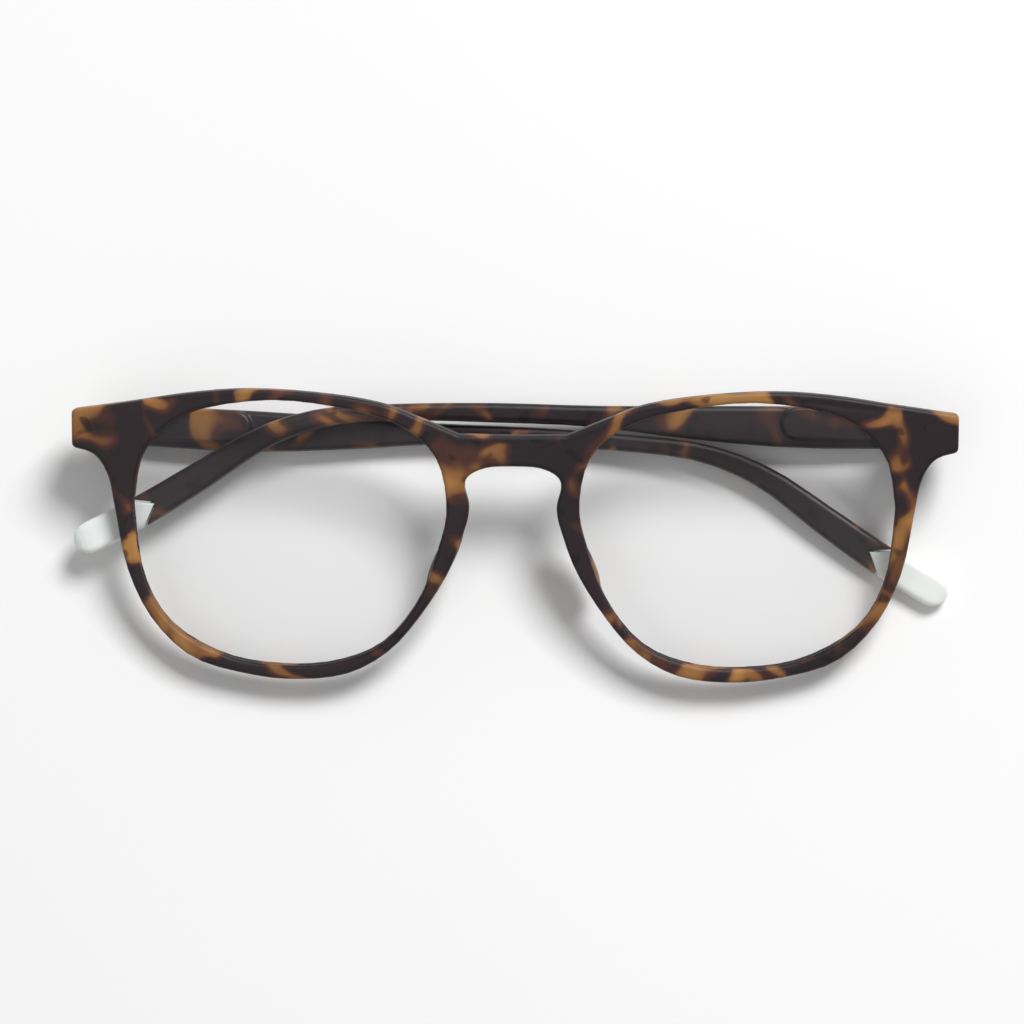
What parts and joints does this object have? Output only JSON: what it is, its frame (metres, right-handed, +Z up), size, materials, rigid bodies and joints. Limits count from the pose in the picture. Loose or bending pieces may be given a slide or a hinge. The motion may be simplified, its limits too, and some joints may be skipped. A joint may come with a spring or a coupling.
{
  "type": "glasses",
  "caption": "Folded screen glasses: mottled one-piece keyhole front, clear round lenses, and slim temples with white slip-on tips on spring hinges.",
  "frame": {"origin": "on the table, under the middle of the folded object", "axes": "+X along the front, from the temple end at the viewer's left to the one at the right; +Y from the rims' lower edge to the brow; +Z up from the table, out of the lenses' front faces"},
  "size_m": [0.1406, 0.045, 0.0185],
  "materials": {
    "tortoise": "matte, mottled dark brown and amber",
    "clear_lens": "clear, coated",
    "white_tip": "satin white",
    "hinge_steel": "brushed",
    "spring_steel": "drawn wire"
  },
  "bodies": {
    "front": {"front_frame": "tortoise", "left_lens": "clear_lens", "right_lens": "clear_lens", "left_front_hinge": "hinge_steel", "right_front_hinge": "hinge_steel", "left_hinge_screw": "hinge_steel", "right_hinge_screw": "hinge_steel"},
    "left_slider": {"left_hinge_slider": "hinge_steel", "left_spring_stop": "hinge_steel"},
    "left_temple_arm": {"left_temple": "tortoise", "left_temple_tip": "white_tip", "left_spring_case": "hinge_steel", "left_core_wire": "spring_steel", "left_hinge_spring": "spring_steel"},
    "right_slider": {"right_hinge_slider": "hinge_steel", "right_spring_stop": "hinge_steel"},
    "right_temple_arm": {"right_temple": "tortoise", "right_temple_tip": "white_tip", "right_spring_case": "hinge_steel", "right_core_wire": "spring_steel", "right_hinge_spring": "spring_steel"}
  },
  "joints": [
    {"name": "left_hinge", "type": "hinge", "parent": "front", "child": "left_slider", "pos_m": [-0.06437, 0.01862, 0.00547], "axis": [0.0285, 0.9884, 0.1495], "range_deg": [0, 90.7]},
    {"name": "left_spring_travel", "type": "slide", "parent": "left_slider", "child": "left_temple_arm", "axis": [0.9995, -0.03, 0.0078], "range_m": [0, 0.0012], "stiffness_N_per_m": 2500, "springref_m": -0.004, "deforming": ["left_hinge_spring"]},
    {"name": "right_hinge", "type": "hinge", "parent": "front", "child": "right_slider", "pos_m": [0.06463, 0.01862, 0.00547], "axis": [-0.0285, -0.9884, -0.1495], "range_deg": [0, 92]},
    {"name": "right_spring_travel", "type": "slide", "parent": "right_slider", "child": "right_temple_arm", "axis": [-0.999, 0.023, 0.0388], "range_m": [0, 0.0012], "stiffness_N_per_m": 2500, "springref_m": -0.004, "deforming": ["right_hinge_spring"]}
  ]
}
